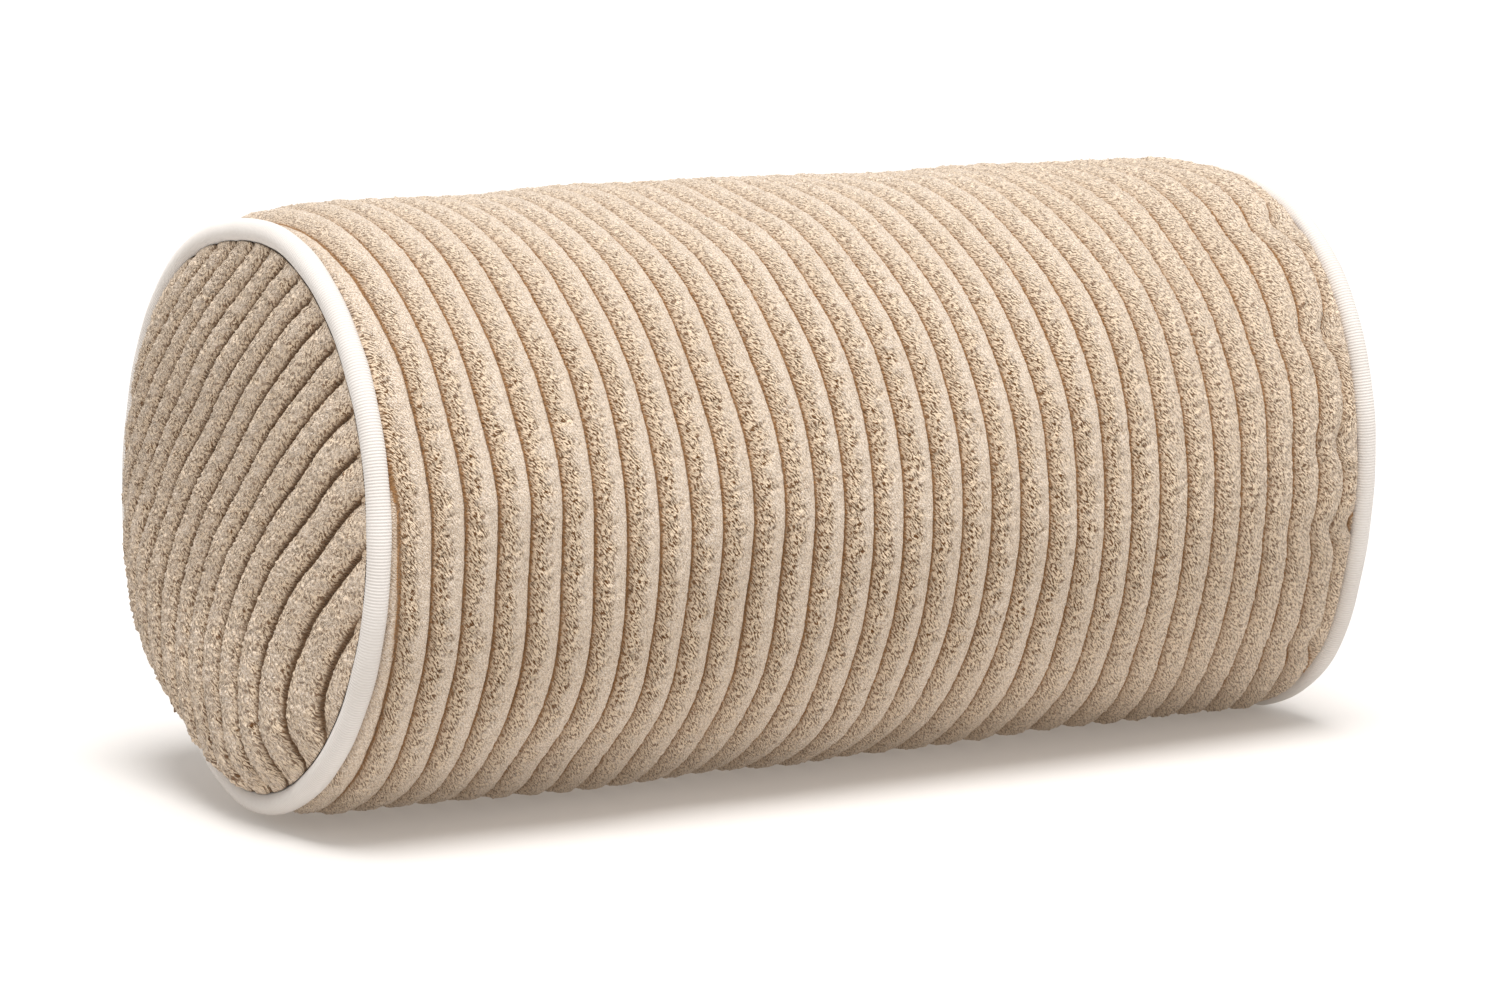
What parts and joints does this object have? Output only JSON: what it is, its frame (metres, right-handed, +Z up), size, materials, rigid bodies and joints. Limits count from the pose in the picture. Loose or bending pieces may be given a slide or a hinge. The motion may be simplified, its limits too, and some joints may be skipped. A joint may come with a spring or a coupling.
{
  "type": "bolster pillow",
  "caption": "Round bolster pillow: ribbed terry cover with piped ends and a back zip over a stuffed liner; it supports the neck, back or knees.",
  "frame": {"origin": "on the surface it rests on, under the middle of the bolster", "axes": "+X along the bolster's axis to its right end, +Z up, -Y to the front; the zip is at the back, 20 degrees above the level of the axis"},
  "size_m": [0.42, 0.208, 0.205],
  "materials": {
    "corduroy": "matte",
    "end_corduroy": "matte",
    "piping": "matte",
    "cord": "matte",
    "zip_tape": "matte",
    "zip_coil": "satin",
    "zip_metal": "satin",
    "label": "satin",
    "liner": "matte",
    "fibre": "matte"
  },
  "bodies": {
    "bolster": {"cover_body": "corduroy", "end_panel_left": "end_corduroy", "end_panel_right": "end_corduroy", "piping_tape_left": "piping", "piping_tape_right": "piping", "piping_cord_left": "cord", "piping_cord_right": "cord", "zip_tape_upper": "zip_tape", "zip_tape_lower": "zip_tape", "zip_coil_upper": "zip_coil", "zip_coil_lower": "zip_coil", "zip_top_stop_upper": "zip_metal", "zip_top_stop_lower": "zip_metal", "zip_bottom_stop": "zip_metal", "care_label": "label", "liner_body": "liner", "liner_end_left": "liner", "liner_end_right": "liner", "fibre_fill": "fibre"},
    "slider": {"zip_slider": "zip_metal"},
    "pull_tab": {"zip_pull_tab": "zip_metal"}
  },
  "joints": [
    {"name": "zip_slide", "type": "slide", "parent": "bolster", "child": "slider", "axis": [-1, 0, 0], "range_m": [0, 0.28]},
    {"name": "tab_hinge", "type": "hinge", "parent": "slider", "child": "pull_tab", "pos_m": [0.15, 0.09707, 0.13633], "axis": [0, 0.342, -0.9397], "range_deg": [0, 165]}
  ]
}
